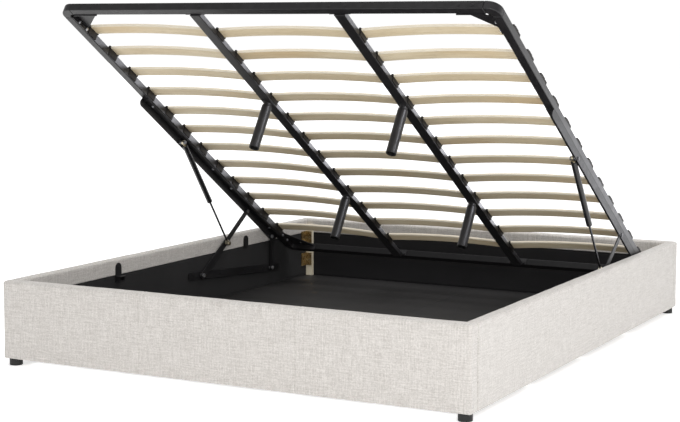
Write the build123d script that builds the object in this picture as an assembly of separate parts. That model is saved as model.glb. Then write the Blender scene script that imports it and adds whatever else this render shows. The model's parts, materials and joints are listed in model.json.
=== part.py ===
from build123d import *
import os
from math import cos, sin, radians, degrees, atan2, hypot

os.makedirs("parts", exist_ok=True)

# ---------------------------------------------------------------------------
# Upholstered storage bed base with a lifting slatted frame, shown open.
# Units mm.  +X across the bed, +Y from foot to head, +Z up.
# Origin: centre of the footprint, on the floor.
# ---------------------------------------------------------------------------

# --- driving dimensions: box ------------------------------------------------
W = 1720.0            # outer width
L = 2100.0            # outer length
Z_BOT = 25.0          # underside of the panels
Z_TOP = 290.0         # top of the padded panels
T_SIDE = 40.0         # side rail thickness over the upholstery
T_END = 48.0          # foot and head panel thickness over the upholstery
PAD = 6.0             # padding and fabric on outer and top faces
PAD_IN = 4.0          # padding and fabric on the inner face
STRIP_Z = 232.0       # lower edge of the fabric return on the inner face
FLOOR_TOP = 38.0      # top of the storage floor boards
BOARD_T = 5.0
FOOT_R = 22.5

XO = W / 2            # 860
YO = L / 2            # 1050
XI = XO - T_SIDE      # 820 inner face of the side rails
YI = YO - T_END       # 1002 inner face of foot and head panels

# --- driving dimensions: lifting frame (local: x, y' toward head, z' up) -----
TILT = 32.7           # open angle of the frame
O_OPEN = (819.57, 171.41)   # Y, Z of the underside line at the head end, open
Z_SHUT = 228.0        # underside of the frame when shut
FR_L = 1902.0         # frame length
FR_HW = 815.0         # frame half width
TB = 30.0             # rectangular tube, width
TH = 28.0             # rectangular tube, height
TW = 1.5              # tube wall
BEND_R = 42.0         # outer radius of the corner bends
BEND_LEG = 6.0        # straight leg of each bend piece
RAIL_X = 270.0        # middle rails
RAIL_W = 38.0
RAIL_H = 19.0
RAIL_Z = -4.5         # underside of the middle rails, below the side tubes
RAIL_TOP = RAIL_Z + RAIL_H
SLAT_W = 50.0
SLAT_T = 10.0
SLAT_ZO = 29.2        # underside of the slats at the side tubes
SLAT_ZM = 16.1        # underside of the slats at the middle rails
SLAT_BOW = 10.5
SLAT_U0 = 169.0       # first slat, from the head end
SLAT_PITCH = 141.64
SLAT_N = 12
LEG_R = 19.0
LEG_TOP = -17.0       # top of the legs, below the boss that carries them
LEG_U = (580.0, 1305.0)
LEG_END = -189.4      # lowest point of the legs below the frame underside

# --- lift linkage, one plane per side, (Y, Z) while open ---------------------
FL = (119.79, 153.57)       # front arm, lower pivot on the rail bracket
RL = (664.40, 114.42)       # rear arm, lower pivot on the rail bracket
FU_U, FU_W = 414.20, -19.04     # front arm, upper pivot on the frame bracket
RU_U, RU_W = 176.41, -18.99     # rear arm, upper pivot on the frame bracket
ST_U, ST_W = 1005.0, -19.0      # gas strut, upper anchor on the frame bracket
ST_ARM = 201.0              # gas strut, lower anchor along the front arm
PIN_R = 4.95
HOLE_R = 5.0
ARM_T = 4.0
X_PLATE = XI - 3.0          # inner face of the rail bracket
X_ARM0 = 807.7              # arm inner face
X_ARM1 = 811.7              # arm outer face
X_FL0 = 812.0               # upper bracket, hanging flange inner face
X_STRUT = 795.0             # strut centre plane
CYL_R = 10.5
CYL_BORE = 9.0
ROD_R = 4.0
CYL_A, CYL_B = 16.0, 313.0  # cylinder body along the strut from the anchor


def frame_yz(u, w):
    """(Y, Z) of a point u up the frame from the head end and w above its underside, open."""
    c, s = cos(radians(TILT)), sin(radians(TILT))
    return (O_OPEN[0] - c * u + s * w, O_OPEN[1] + s * u + c * w)


FU = frame_yz(FU_U, FU_W)
RU = frame_yz(RU_U, RU_W)
SA = frame_yz(ST_U, ST_W)
F_ANG = atan2(FU[1] - FL[1], FU[0] - FL[0])
F_LEN = hypot(FU[1] - FL[1], FU[0] - FL[0])
R_LEN = hypot(RU[1] - RL[1], RU[0] - RL[0])
SB = (FL[0] + ST_ARM * cos(F_ANG), FL[1] + ST_ARM * sin(F_ANG))
S_LEN = hypot(SB[0] - SA[0], SB[1] - SA[1])
print("front arm", round(F_LEN, 2), "rear arm", round(R_LEN, 2), "strut", round(S_LEN, 2))
print("FU", FU, "RU", RU, "SA", SA, "SB", SB)

PLACE = Pos(0, O_OPEN[0], O_OPEN[1]) * Rot(-TILT, 0, 0)


# ---------------------------------------------------------------------------
# small helpers
# ---------------------------------------------------------------------------
def bx(x0, x1, y0, y1, z0, z1):
    x0, x1 = min(x0, x1), max(x0, x1)
    y0, y1 = min(y0, y1), max(y0, y1)
    z0, z1 = min(z0, z1), max(z0, z1)
    return Pos((x0 + x1) / 2, (y0 + y1) / 2, (z0 + z1) / 2) * Box(x1 - x0, y1 - y0, z1 - z0)


def cxl(x0, x1, y, z, r):
    """cylinder along X"""
    return Pos((x0 + x1) / 2, y, z) * Rot(0, 90, 0) * Cylinder(r, abs(x1 - x0))


def cyl_y(y0, y1, x, z, r):
    return Pos(x, (y0 + y1) / 2, z) * Rot(90, 0, 0) * Cylinder(r, abs(y1 - y0))


def cz(z0, z1, x, y, r):
    return Pos(x, y, (z0 + z1) / 2) * Cylinder(r, abs(z1 - z0))


def hexx(x0, x1, y, z, r, turn=0.0):
    """hexagon head or nut along X"""
    s = extrude(RegularPolygon(r, 6), amount=abs(x1 - x0))
    return Pos(min(x0, x1), y, z) * Rot(0, 90, 0) * Rot(0, 0, turn) * s


def hexz(z0, z1, x, y, r, turn=0.0):
    s = extrude(RegularPolygon(r, 6), amount=abs(z1 - z0))
    return Pos(x, y, min(z0, z1)) * Rot(0, 0, turn) * s


def hexy(y0, y1, x, z, r, turn=0.0):
    s = extrude(RegularPolygon(r, 6), amount=abs(y1 - y0))
    return Pos(x, max(y0, y1), z) * Rot(90, 0, 0) * Rot(0, 0, turn) * s


def solids(*parts):
    out = []
    for p in parts:
        if isinstance(p, (list, tuple)):
            out.extend(solids(*p))
        else:
            out.extend(p.solids())
    return out


def group(*parts):
    s = solids(*parts)
    return s[0] if len(s) == 1 else Compound(children=s)


def mir(shape):
    """the same piece on the other side of the bed"""
    return mirror(shape, about=Plane.YZ)


def plate_yz(pts, x0, x1):
    """prism of a (Y, Z) outline between two X planes"""
    x0, x1 = min(x0, x1), max(x0, x1)
    wire = Polyline([Vector(x0, y, z) for y, z in pts], close=True)
    return extrude(make_face(wire), amount=x1 - x0, dir=(1, 0, 0))


def plate_xy(pts, z0, z1):
    z0, z1 = min(z0, z1), max(z0, z1)
    wire = Polyline([Vector(x, y, z0) for x, y in pts], close=True)
    return extrude(make_face(wire), amount=z1 - z0, dir=(0, 0, 1))


def bar_yz(a, b, ra, rb, x0, x1):
    """flat bar with round ends of radius ra at a and rb at b"""
    ang = atan2(b[1] - a[1], b[0] - a[0])
    nx, ny = -sin(ang), cos(ang)
    pts = [(a[0] + nx * ra, a[1] + ny * ra), (b[0] + nx * rb, b[1] + ny * rb),
           (b[0] - nx * rb, b[1] - ny * rb), (a[0] - nx * ra, a[1] - ny * ra)]
    return plate_yz(pts, x0, x1) + cxl(x0, x1, a[0], a[1], ra) + cxl(x0, x1, b[0], b[1], rb)


def try_fillet(shape, edges, r):
    try:
        return fillet(edges, r)
    except Exception as e:          # keeps the sharp edge where a round cannot be made
        print("fillet skipped", e)
        return shape


NODES = {}


def node(name, *parts):
    NODES[name] = group(*parts)


# ---------------------------------------------------------------------------
# 1. padded box: four panels, each a timber core, a fabric wrap and a lining
# ---------------------------------------------------------------------------
def top_round(b, r_out=14.0):
    es = b.edges().filter_by(lambda e: abs(e.center().Z - Z_TOP) < 0.01)
    return try_fillet(b, es, r_out)


# foot panel, full width; the head panel is its mirror image
core = bx(-XO + PAD, XO - PAD, -YO + PAD, -YI - 6.0, Z_BOT, Z_TOP - PAD)
outer = bx(-XO, XO, -YO, -YI, Z_BOT, Z_TOP)
vert = outer.edges().filter_by(Axis.Z).filter_by(lambda e: e.center().Y < -YO + 1)
outer = try_fillet(outer, vert, 10.0)
outer = top_round(outer, 12.0)
lin_zone = bx(-XI, XI, -YI - 6.0, -YI, Z_BOT - 1, STRIP_Z)
core_cut = bx(-XO + PAD, XO - PAD, -YO + PAD, -YI - 6.0, Z_BOT - 1, Z_TOP - PAD)
foot_wrap = outer - core_cut - lin_zone
foot_lining = bx(-XI + 3.6, XI - 3.6, -YI - 6.0, -YI - 2.0, FLOOR_TOP - BOARD_T, STRIP_Z)
node("foot_panel_core", core)
node("foot_panel_upholstery", foot_wrap)
node("foot_panel_lining", foot_lining)
flip = lambda s: mirror(s, about=Plane.XZ)
node("head_panel_core", flip(core))
node("head_panel_upholstery", flip(foot_wrap))
node("head_panel_lining", flip(foot_lining))

# side rail, between the two end panels
score = bx(XI + PAD_IN, XO - PAD, -YI, YI, Z_BOT, Z_TOP - PAD)
souter = bx(XI, XO, -YI, YI, Z_BOT, Z_TOP)
es = souter.edges().filter_by(Axis.Y).filter_by(lambda e: abs(e.center().Z - Z_TOP) < 0.01)
souter = try_fillet(souter, es, 12.0)
score_cut = bx(XI + PAD_IN, XO - PAD, -YI - 1, YI + 1, Z_BOT - 1, Z_TOP - PAD)
slin_zone = bx(XI - 1, XI + PAD_IN, -YI - 1, YI + 1, Z_BOT - 1, STRIP_Z)
side_wrap = souter - score_cut - slin_zone
side_lining = bx(XI + 0.4, XI + PAD_IN, -YI, YI, FLOOR_TOP, STRIP_Z)
node("side_rail_core_right", score)
node("side_rail_upholstery_right", side_wrap)
node("side_rail_lining_right", side_lining)
node("side_rail_core_left", mir(score))
node("side_rail_upholstery_left", mir(side_wrap))
node("side_rail_lining_left", mir(side_lining))

# storage floor: two hardboards on cross battens
XF = XI + PAD_IN
YF = YI
node("floor_board_left", bx(-XF, -0.4, -YF, YF, FLOOR_TOP - BOARD_T, FLOOR_TOP))
node("floor_board_right", bx(0.4, XF, -YF, YF, FLOOR_TOP - BOARD_T, FLOOR_TOP))
BAT_Y = (-980.0, -500.0, 0.0, 500.0, 980.0)
node("floor_battens",
     [bx(-XF, XF, y - 25, y + 25, 15.0, FLOOR_TOP - BOARD_T) for y in BAT_Y[1:4]],
     [bx(-XF + 30, XF - 30, sy * (YI - 44), sy * (YI + 6), 15.0, FLOOR_TOP - BOARD_T) for sy in (-1, 1)])


def round_foot(x, y, r, h):
    f = Pos(x, y, h / 2) * Cylinder(r, h)
    lo = f.edges().filter_by(lambda e: abs(e.center().Z) < 0.01)
    return try_fillet(f, lo, 2.5)


node("floor_support_feet", [round_foot(0, y, 20.0, 15.0) for y in BAT_Y[1:4]])
node("corner_feet", [round_foot(sx * (XO - 30), sy * (YO - 28), FOOT_R, Z_BOT)
                     for sx in (-1, 1) for sy in (-1, 1)])

# corner posts of bare timber and plated corner brackets
POST_X, POST_Y, POST_TOP = 32.0, 16.0, 268.0
posts = []
brackets = []
screws = []
for sx in (-1, 1):
    for sy in (-1, 1):
        posts.append(bx(sx * (XI - 0.3), sx * (XI - POST_X), sy * (YI - 0.3), sy * (YI - POST_Y), FLOOR_TOP, POST_TOP))
        for z0, z1 in ((84.0, 140.0), (182.0, 238.0)):
            yb = YI - POST_Y
            leg1 = bx(sx * XI, sx * (XI - 2.5), sy * yb, sy * (yb - 42), z0, z1)
            leg2 = bx(sx * XI, sx * (XI - 30), sy * yb, sy * (yb - 2.5), z0, z1)
            b = leg1 + leg2
            b = b - cxl(sx * (XI + 5), sx * (XI - 10), sy * (yb - 26), (z0 + z1) / 2, 4.0)
            brackets.append(b)
            for dz in (14.0, -14.0):
                zc = (z0 + z1) / 2 + dz
                screws.append(cxl(sx * (XI - 2.5), sx * (XI - 4.5), sy * (yb - 14), zc, 4.5))
                screws.append(cyl_y(sy * (yb - 2.5), sy * (yb - 4.5), sx * (XI - 20), zc, 4.5))
node("corner_posts", posts)
node("corner_brackets", brackets, screws)

# ---------------------------------------------------------------------------
# 2. frame rests on the side rails (rounded plate with a small seat)
# ---------------------------------------------------------------------------
def rest_piece(yc, z_low, z_seat=None):
    """upright plate with a rounded top, and for the bearing ones a ribbed seat against it"""
    hw = 18.0
    ztop = 276.0
    p = bx(XI, XI - 3, yc - hw, yc + hw, z_low, ztop - hw) + cxl(XI, XI - 3, yc, ztop - hw, hw)
    p = p - cxl(XI + 2, XI - 6, yc, ztop - hw, 3.4)
    if z_seat is None:
        return [p]
    s = bx(XI - 3, XI - 24, yc - hw, yc + hw, z_seat - 3, z_seat)
    for y0 in (yc - hw, yc + hw - 2.5):
        s = s + bx(XI - 3, XI - 18, y0, y0 + 2.5, z_seat - 18, z_seat - 3)
    return [p, s]


rests = rest_piece(-443.0, Z_SHUT - 24, Z_SHUT - 0.5) + rest_piece(465.0, Z_SHUT - 2)
node("frame_rests", rests, [mir(r) for r in rests])

# ---------------------------------------------------------------------------
# 3. lift mechanism, right side at +X, left side mirrored
# ---------------------------------------------------------------------------
# rail bracket: long bar with round ends, screwed to the rail through the lining
d_ang = atan2(RL[1] - FL[1], RL[0] - FL[0])
ux, uy = cos(d_ang), sin(d_ang)
ends = ((FL[0] - 80 * ux, FL[1] - 80 * uy), (RL[0] + 60 * ux, RL[1] + 60 * uy))
bar = bar_yz(ends[0], ends[1], 15.0, 15.0, XI, X_PLATE)
lip0 = (FL[0] + 30 * ux + 13.5 * uy, FL[1] + 30 * uy - 13.5 * ux)
lip1 = (RL[0] - 30 * ux + 13.5 * uy, RL[1] - 30 * uy - 13.5 * ux)
bar = bar + bar_yz(lip0, lip1, 1.5, 1.5, X_PLATE, X_PLATE - 4.0)
bolt_t = [-58.0, 143.0, 335.0, 485.0]     # fixing bolts, along the bar from the front pivot
fix = [(FL[0] + t * ux, FL[1] + t * uy) for t in bolt_t]
for p in fix:
    bar = bar - cxl(XI + 1, X_PLATE - 6, p[0], p[1], 3.3)
for p in (FL, RL):
    bar = bar - cxl(XI + 1, X_PLATE - 1, p[0], p[1], HOLE_R)
node("rail_bracket_right", bar)
node("rail_bracket_left", mir(bar))
fb = [cxl(XI, X_PLATE, p[0], p[1], 3.25) + cxl(X_PLATE, X_PLATE - 2.6, p[0], p[1], 6.0) for p in fix]
fb = [b - hexx(X_PLATE - 1.0, X_PLATE - 3, p[0], p[1], 2.6) for b, p in zip(fb, fix)]
for yc in (-443.0, 465.0):
    fb.append(cxl(XI, XI - 3, yc, 258.0, 3.35) + cxl(XI - 3, XI - 4.2, yc, 258.0, 5.5))
node("panel_screws", fb, [mir(b) for b in fb])


def pivot_bolt(p, x_out, x_spacer):
    """shouldered pivot: shank, spacer against the bracket, head inside the arm"""
    b = cxl(x_out, X_ARM0 - 0.3, p[0], p[1], PIN_R)
    b = b + cxl(x_spacer, X_ARM1 + 0.3, p[0], p[1], 9.0)
    b = b + cxl(X_ARM0 - 0.3, X_ARM0 - 5.0, p[0], p[1], 8.0)
    return b


pb = [pivot_bolt(FL, XI, X_PLATE), pivot_bolt(RL, XI, X_PLATE)]
node("lower_pivot_bolts", pb, [mir(b) for b in pb])

# front arm: flat bar, wide from the rail to the strut pin, slimmer above it
fa = bar_yz(FL, SB, 15.0, 13.0, X_ARM0, X_ARM1) + bar_yz(SB, FU, 11.0, 10.5, X_ARM0, X_ARM1)
fa = fa - cxl(X_ARM0 - 1, X_ARM1 + 1, FL[0], FL[1], HOLE_R) - cxl(X_ARM0 - 1, X_ARM1 + 1, FU[0], FU[1], HOLE_R)
node("front_arm_right", fa)
node("front_arm_left", mir(fa))

# rear arm with its upper stub pin, which stops short of the frame bracket
ra = bar_yz(RL, RU, 12.0, 9.0, X_ARM0, X_ARM1)
ra = ra - cxl(X_ARM0 - 1, X_ARM1 + 1, RL[0], RL[1], HOLE_R) - cxl(X_ARM0 - 1, X_ARM1 + 1, RU[0], RU[1], HOLE_R)
node("rear_arm_right", ra)
node("rear_arm_left", mir(ra))
rp = cxl(X_ARM1 - 0.1, X_ARM0, RU[0], RU[1], HOLE_R) + cxl(X_ARM0, X_ARM0 - 4.6, RU[0], RU[1], 8.0)
node("rear_arm_pin_right", rp)
node("rear_arm_pin_left", mir(rp))

# frame bracket: angle under the side tube, flange hanging at the outer edge
BR_U0, BR_U1 = 130.0, 1315.0
FLG = 30.0
hang = bx(X_FL0, FR_HW, -BR_U1 + 15, -BR_U0 - 15, -FLG, 0)
hang = hang + cxl(X_FL0, FR_HW, -BR_U1 + 15, -15, 15.0) + cxl(X_FL0, FR_HW, -BR_U0 - 15, -15, 15.0)
hang = hang + bx(X_FL0, FR_HW, -BR_U1 + 4, -BR_U0 - 4, -8, 0)
flat = bx(FR_HW - TB + 2, FR_HW, -BR_U1 + 6, -BR_U0 - 6, -3.0, 0)
ub = hang + flat
for u, w in ((FU_U, FU_W), (ST_U, ST_W)):
    ub = ub - cxl(X_FL0 - 1, FR_HW + 1, -u, w, HOLE_R)
BR_BOLTS = (227.0, 590.0, 755.0, 1252.0)
for u in BR_BOLTS:
    ub = ub - cz(-4, 1, FR_HW - 15, -u, 3.3)
node("frame_bracket_right", PLACE * ub)
node("frame_bracket_left", mir(PLACE * ub))

# pins that belong to the frame: front-arm pivot and strut anchor
fu_pin = cxl(FR_HW + 0.0, X_ARM0 - 0.3, -FU_U, FU_W, PIN_R) + cxl(X_ARM0 - 0.3, X_ARM0 - 5.0, -FU_U, FU_W, 8.0)
fu_pin = fu_pin + hexx(FR_HW + 0.0, FR_HW + 3.0, -FU_U, FU_W, 8.0)
st_pin = cxl(FR_HW, X_STRUT - 9.0, -ST_U, ST_W, PIN_R) + cxl(X_FL0, X_STRUT + 4.6, -ST_U, ST_W, 7.0)
st_pin = st_pin + hexx(FR_HW, FR_HW + 3.0, -ST_U, ST_W, 8.0) + cxl(X_STRUT - 4.6, X_STRUT - 9.5, -ST_U, ST_W, 7.6)
node("frame_pivot_pins", PLACE * fu_pin, mir(PLACE * fu_pin), PLACE * st_pin, mir(PLACE * st_pin))

# gas strut: cylinder on the frame, piston rod toward the front arm
s_ang = atan2(SB[1] - SA[1], SB[0] - SA[0])
# local strut frame: +Z along the strut from the anchor, +X stays the bed's X
STRUT = Pos(X_STRUT, SA[0], SA[1]) * Rot(degrees(s_ang) - 90, 0, 0)
tube = Pos(0, 0, (CYL_A + CYL_B) / 2) * Cylinder(CYL_R, CYL_B - CYL_A)
te = tube.edges().filter_by(GeomType.CIRCLE).filter_by(lambda e: e.center().Z > CYL_B - 0.5)
tube = try_fillet(tube, te, 3.0)
tube = tube - Pos(0, 0, (CYL_A + 6 + CYL_B - 14) / 2) * Cylinder(CYL_BORE, CYL_B - 14 - CYL_A - 6)
tube = tube - Pos(0, 0, CYL_B - 8) * Cylinder(ROD_R + 0.06, 20)
node("gas_cylinder_right", STRUT * tube)
node("gas_cylinder_left", mir(STRUT * tube))
eye_up = Rot(0, 90, 0) * Cylinder(9.0, 8.0) + Pos(0, 0, 9.0) * Cylinder(3.9, 8.0) + Pos(0, 0, 13.5) * Cylinder(6.5, 5.0)
eye_up = eye_up - Rot(0, 90, 0) * Cylinder(PIN_R + 0.05, 20.0)
node("cylinder_eye_right", STRUT * eye_up)
node("cylinder_eye_left", mir(STRUT * eye_up))
rod = Pos(0, 0, (284 + S_LEN - 16) / 2) * Cylinder(ROD_R, S_LEN - 16 - 284)
rod = rod + Pos(0, 0, 284) * Cylinder(CYL_BORE - 0.08, 12.0)
node("gas_rod_right", STRUT * rod)
node("gas_rod_left", mir(STRUT * rod))
eye_lo = Pos(0, 0, S_LEN) * (Rot(0, 90, 0) * Cylinder(9.0, 8.0)) + Pos(0, 0, S_LEN - 9.0) * Cylinder(3.9, 8.0)
eye_lo = eye_lo + Pos(0, 0, S_LEN - 13.5) * Cylinder(6.5, 5.0)
stub = cxl(4.0, X_ARM0 - 0.3 - X_STRUT, 0, 0, PIN_R) + cxl(-4.0, -9.5, 0, 0, 7.6)
stub = stub + hexx(6.0, 10.0, 0, 0, 8.0)
eye_lo = eye_lo + Pos(0, 0, S_LEN) * stub
node("rod_eye_right", STRUT * eye_lo)
node("rod_eye_left", mir(STRUT * eye_lo))

# ---------------------------------------------------------------------------
# 4. lifting slatted frame (modelled flat, then tilted open)
# ---------------------------------------------------------------------------
CB = BEND_R + BEND_LEG      # 48


def tube_y(x0, x1, y0, y1, z0, z1):
    return bx(x0, x1, y0, y1, z0, z1) - bx(min(x0, x1) + TW, max(x0, x1) - TW, min(y0, y1) + TW, max(y0, y1) - TW,
                                           z0 + TW, z1 - TW)


side_tube = tube_y(FR_HW - TB, FR_HW, -FR_L + CB, -CB, 0, TH)
node("side_tube_right", PLACE * side_tube)
node("side_tube_left", PLACE * mir(side_tube))
node("foot_tube", PLACE * tube_y(-FR_HW + CB, FR_HW - CB, -FR_L, -FR_L + TB, 0, TH))
node("head_tube", PLACE * tube_y(-FR_HW + CB, FR_HW - CB, -TB, 0, 0, TH))


def bend():
    """corner piece for +X, head end: quarter ring with two straight legs"""
    xc, yc = FR_HW - BEND_R, -BEND_R

    def body(g, z0, z1):
        ro, ri = BEND_R - g, BEND_R - TB + g
        ring = cz(z0, z1, xc, yc, ro) - cz(z0 - 1, z1 + 1, xc, yc, ri)
        ring = ring & bx(xc, xc + BEND_R + 5, yc, yc + BEND_R + 5, z0, z1)
        leg_a = bx(xc + ri, xc + ro, yc - BEND_LEG + g, yc, z0, z1)
        leg_b = bx(xc - BEND_LEG + g, xc, yc + ri, yc + ro, z0, z1)
        return ring + leg_a + leg_b
    return body(0, 0, TH) - body(TW, TW, TH - TW)


bend1 = bend()
bend_foot = Pos(0, -FR_L, 0) * mirror(bend1, about=Plane.XZ)
node("frame_corner_bends", [PLACE * b for b in (bend1, mir(bend1), bend_foot, mir(bend_foot))])


G_LEG = 115.0         # gusset, along each tube
G_W0, G_W1 = 16.5, 19.0     # its web


def gusset(hx, hy):
    """corner stiffener inside the corner, head end at +X: web with a flange against each tube"""
    xi, yi = FR_HW - TB, -TB
    ri = BEND_R - TB
    g = plate_xy([(xi, yi), (xi - G_LEG, yi), (xi, yi - G_LEG)], G_W0, G_W1)
    g = g + bx(xi - 3, xi, yi - G_LEG, yi - ri - 7, 1.0, G_W1)
    g = g + bx(xi - G_LEG, xi - ri - 7, yi - 3, yi, -3.0, G_W1)
    corner = bx(xi - ri, xi + 1, yi - ri, yi + 1, G_W0 - 1, G_W1 + 1) - cz(G_W0 - 2, G_W1 + 2, xi - ri, yi - ri, ri - 0.1)
    g = g - corner
    return g - cz(G_W0 - 2, G_W1 + 2, FR_HW - hx, -hy, 5.5)


def to_foot(s):
    return Pos(0, -FR_L, 0) * mirror(s, about=Plane.XZ)


g_r, g_l = gusset(58.0, 59.0), mir(gusset(82.0, 55.0))
node("corner_gussets", [PLACE * g for g in (g_r, g_l, to_foot(g_r), to_foot(g_l))])

# middle rails with end plates
RA = tube_y(RAIL_X - RAIL_W / 2, RAIL_X + RAIL_W / 2, -FR_L + TB + 3, -TB - 3, RAIL_Z, RAIL_TOP)
node("middle_rail_right", PLACE * RA)
node("middle_rail_left", PLACE * mir(RA))
plates = []
for sx in (-1, 1):
    for y0, y1 in ((-TB - 3, -TB), (-FR_L + TB, -FR_L + TB + 3)):
        p = bx(sx * RAIL_X - 38, sx * RAIL_X + 38, y0, y1, 1, TH - 1) + bx(
            sx * RAIL_X - RAIL_W / 2, sx * RAIL_X + RAIL_W / 2, y0, y1, RAIL_Z, 2)
        plates.append(p)
node("rail_end_plates", [PLACE * p for p in plates])

# bolts of the frame: end plates and rivets; gussets, brackets and legs
fbolts = []
gbolts = []
rivets = []
for sx in (-1, 1):
    for dx in (-28, 28):
        x = sx * RAIL_X + dx
        fbolts.append(hexy(-TB - 3, -TB - 7.0, x, 10, 6.0))
        fbolts.append(hexy(-FR_L + TB + 3, -FR_L + TB + 7.0, x, 10, 6.0))
        rivets.append(cyl_y(-FR_L - 1.4, -FR_L, x, 12.5, 4.2))
        rivets.append(cyl_y(0, 1.4, x, 12.5, 4.2))
    for x in (FR_HW - 84, FR_HW - 130):
        rivets.append(cyl_y(-FR_L - 1.4, -FR_L, sx * x, 12.5, 4.2))
        rivets.append(cyl_y(0, 1.4, sx * x, 12.5, 4.2))
    fbolts.append(hexz(-6.5, -3.0, sx * (FR_HW - 9.5), -1299.0, 6.0))
    for u in (88.0, 134.0):
        for y in (-u, -FR_L + u):
            xg = FR_HW - TB - 3
            gbolts.append(hexx(sx * xg, sx * (xg - 3.5), y, 9.0, 6.5) + cxl(sx * (xg - 3.5), sx * (xg - 5.5), y, 9.0, 3.5))
    for u in BR_BOLTS:
        gbolts.append(cz(-5.4, -3.0, sx * (FR_HW - 15), -u, 5.5) + cz(-3.0, 0, sx * (FR_HW - 15), -u, 3.25))

# support legs under the middle rails: plate with a boss, tube with a rounded top, end plug, cross bolt
saddles, legs, caps, lbolts = [], [], [], []
for sx in (-1, 1):
    for u in LEG_U:
        x = sx * RAIL_X
        z = RAIL_Z - 2.5
        saddles.append(bx(x - 17, x + 17, -u - 22, -u + 22, z, RAIL_Z) + cz(LEG_TOP, z, x, -u, 14.0))
        leg = cz(LEG_END + 4, LEG_TOP, x, -u, LEG_R - 0.6)
        leg = try_fillet(leg, leg.edges().filter_by(lambda e: abs(e.center().Z - LEG_TOP) < 0.01), 6.0)
        leg = leg - cz(LEG_END + 3, LEG_TOP - 8, x, -u, LEG_R - 2.1)
        legs.append(leg)
        cap = cz(LEG_END, LEG_END + 4, x, -u, LEG_R - 0.9) + cz(LEG_END + 4, LEG_END + 16, x, -u, LEG_R - 2.2)
        cap = cap - cz(LEG_END - 1, LEG_END + 9, x, -u, LEG_R - 5.2)
        caps.append(cap)
        lbolts.append(hexx(x - 13.5, x - 18.5, -u, -12.0, 4.6) - cz(LEG_TOP - 1, 1, x, -u, 14.0))
node("leg_saddles", [PLACE * p for p in saddles])
node("support_legs", [PLACE * p for p in legs])
node("leg_caps", [PLACE * p for p in caps])
node("frame_bolts", [PLACE * b for b in fbolts + rivets])
node("bracket_bolts", [PLACE * b for b in gbolts + lbolts])


# slats: bowed beech laminate, three columns, lower at the middle rails than at the side tubes
def slat(x0, x1, z0, z1, grow=0.0):
    xm, zm = (x0 + x1) / 2, (z0 + z1) / 2 + SLAT_BOW
    g, t = grow, SLAT_T + grow
    lo = ThreePointArc((x0, 0, z0 - g), (xm, 0, zm - g), (x1, 0, z1 - g))
    hi = ThreePointArc((x1, 0, z1 + t), (xm, 0, zm + t), (x0, 0, z0 + t))
    face = make_face([lo, Line((x1, 0, z1 - g), (x1, 0, z1 + t)), hi, Line((x0, 0, z0 + t), (x0, 0, z0 - g))])
    hw = SLAT_W / 2 + grow
    s = extrude(face, amount=2 * hw, dir=(0, 1, 0))
    return Pos(0, -hw, 0) * s


COLS = {
    "left": (-FR_HW + 14, -RAIL_X - 5, SLAT_ZO, SLAT_ZM),
    "centre": (-RAIL_X + 5, RAIL_X - 5, SLAT_ZM, SLAT_ZM),
    "right": (RAIL_X + 5, FR_HW - 14, SLAT_ZM, SLAT_ZO),
}
US = [SLAT_U0 + i * SLAT_PITCH for i in range(SLAT_N)]
base = {k: slat(*c) for k, c in COLS.items()}
fat = {k: slat(c[0] - 0.5, c[1] + 0.5, c[2], c[3], 0.35) for k, c in COLS.items()}
for k in COLS:
    node("slats_" + k, [PLACE * (Pos(0, -u, 0) * base[k]) for u in US])

# slat holders: moulded saddles on the tubes, with a tongue down the inner side, a nub, and a
# strip over the slat; the outer ones have a closed end wall
HW = 28.5
SAD_O = SLAT_ZO + 5.5
SAD_M = SLAT_ZM + 5.5


def outer_holder():
    x0, x1 = FR_HW - TB - 3.0, FR_HW - 1.0
    h = bx(x0, x1, -HW, HW, TH, SAD_O)
    h = h + bx(FR_HW - TB - 3, FR_HW - TB, -24, 24, 5, TH + 1)
    h = h + bx(x0, x0 + 7, -HW - 4.0, -HW + 1, TH + 1.5, SAD_O + 1.8)
    wall = bx(FR_HW - 13.2, x1, -30.0, 30.0, TH, 38.5)
    wall = try_fillet(wall, wall.edges().filter_by(lambda e: abs(e.center().Z - 38.5) < 0.01), 2.0)
    strip = bx(x0 + 3, x1 - 2, -14, 14, TH + 1, 42.6)
    strip = try_fillet(strip, strip.edges().filter_by(lambda e: abs(e.center().Z - 42.6) < 0.01), 1.0)
    return h + wall + strip - fat["right"]


def mid_holder():
    hl = RAIL_W / 2 + 3.0
    h = bx(RAIL_X - hl, RAIL_X + hl, -HW, HW, RAIL_TOP, SAD_M)
    for sx in (-1, 1):
        xa = RAIL_X + sx * RAIL_W / 2
        h = h + bx(xa, xa + sx * 3, -24, 24, RAIL_Z + 5, RAIL_TOP + 1)
        xn = RAIL_X + sx * hl
        h = h + bx(xn - sx * 7, xn, -HW - 4.0, -HW + 1, RAIL_TOP + 1.5, SAD_M + 1.8)
    strip = bx(RAIL_X - hl + 2, RAIL_X + hl - 2, -14, 14, RAIL_TOP + 1, 29.9)
    strip = try_fillet(strip, strip.edges().filter_by(lambda e: abs(e.center().Z - 29.9) < 0.01), 1.0)
    return h + strip - fat["right"] - fat["centre"]


oh = outer_holder()
mh = mid_holder()
node("slat_holders_outer", [PLACE * (Pos(0, -u, 0) * h) for h in (oh, mir(oh)) for u in US])
node("slat_holders_middle", [PLACE * (Pos(0, -u, 0) * h) for h in (mh, mir(mh)) for u in US])

# ---------------------------------------------------------------------------
for name, shape in NODES.items():
    export_step(shape, "parts/" + name + ".step")
print(len(NODES), "nodes")
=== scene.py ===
import bpy
import bmesh
import json
import math
import random
import numpy as np
from math import sin, cos, tan, radians, pi, sqrt, exp
from mathutils import Vector, Matrix, noise

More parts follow.
